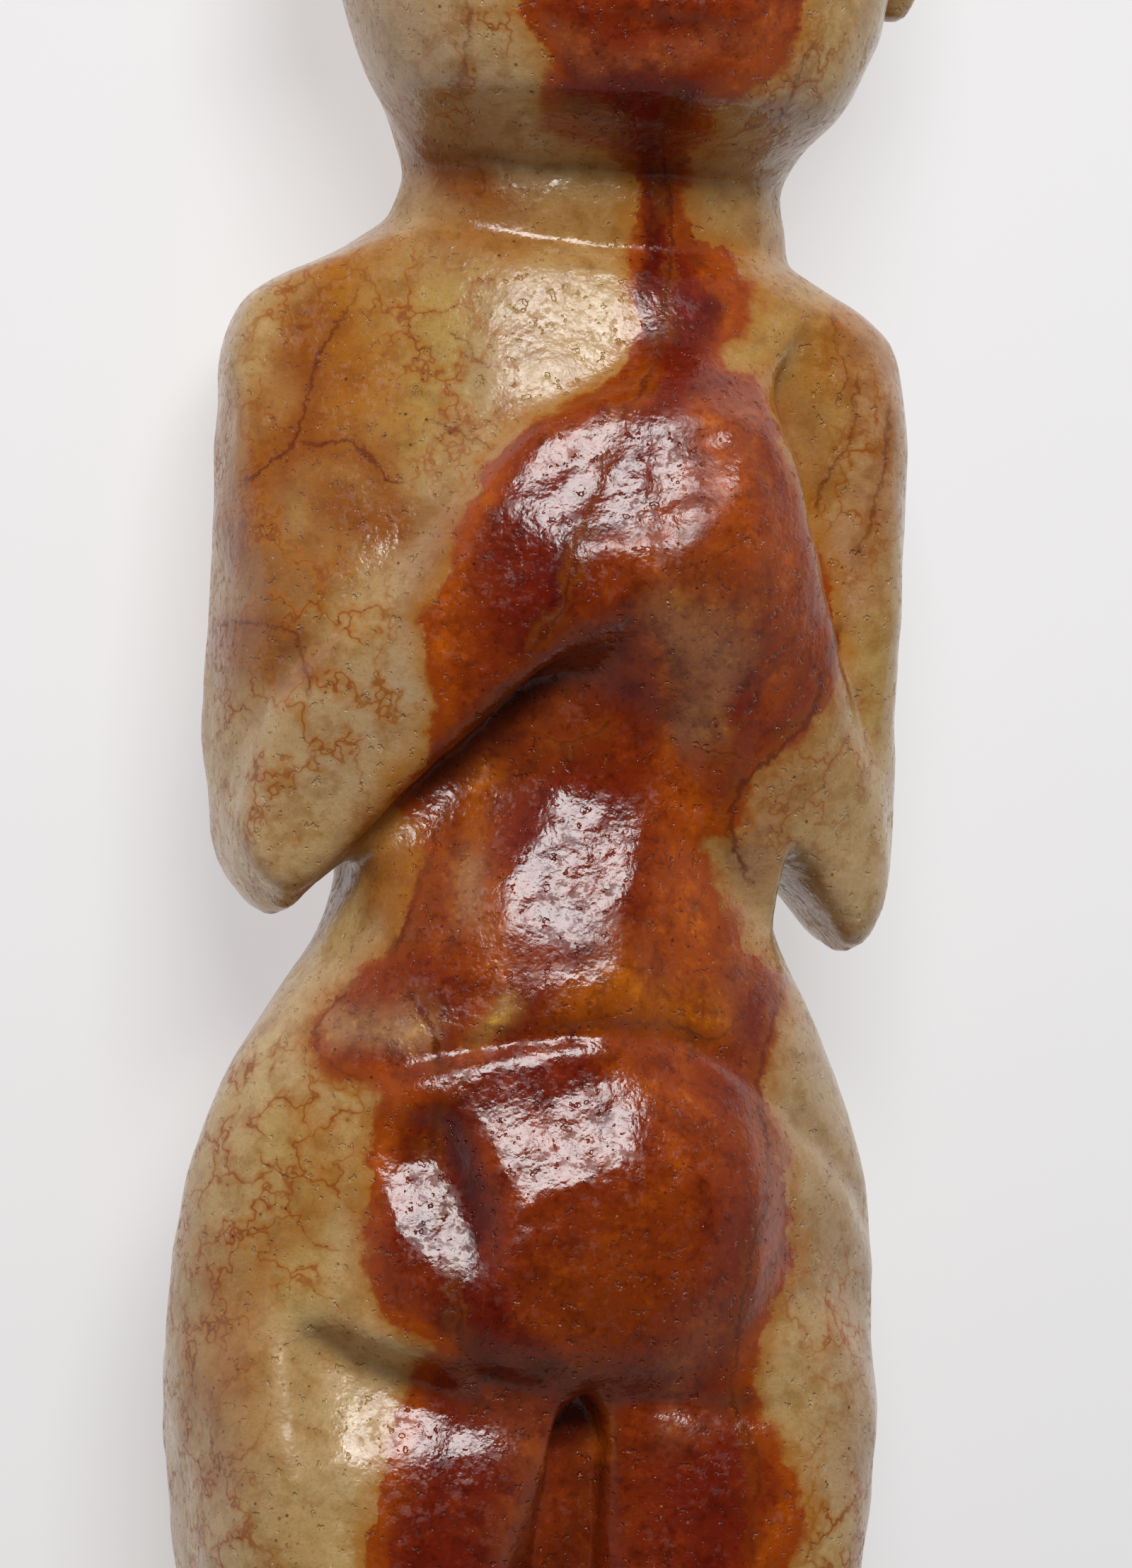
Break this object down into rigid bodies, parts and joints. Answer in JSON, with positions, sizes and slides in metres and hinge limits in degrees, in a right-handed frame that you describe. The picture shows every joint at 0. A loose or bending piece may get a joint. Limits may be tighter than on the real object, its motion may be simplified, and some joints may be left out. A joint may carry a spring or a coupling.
{
  "type": "jade figure",
  "caption": "Small nude figure carved from one jade stone, hands joined on the chest and elbows free of the waist, lying on its back.",
  "frame": {"origin": "bottom centre of the bounding box: under the middle of the figure's length and width, on the plane it lies on", "axes": "+Y from the soles to the crown, +Z out of the figure's front (up as it lies), +X to the right hand side of someone looking at its front"},
  "size_m": [0.0292, 0.12, 0.02],
  "materials": {
    "jade": "polished yellow-green nephrite with red-brown staining"
  },
  "bodies": {
    "root": {"jade_figure": "jade"}
  },
  "joints": []
}
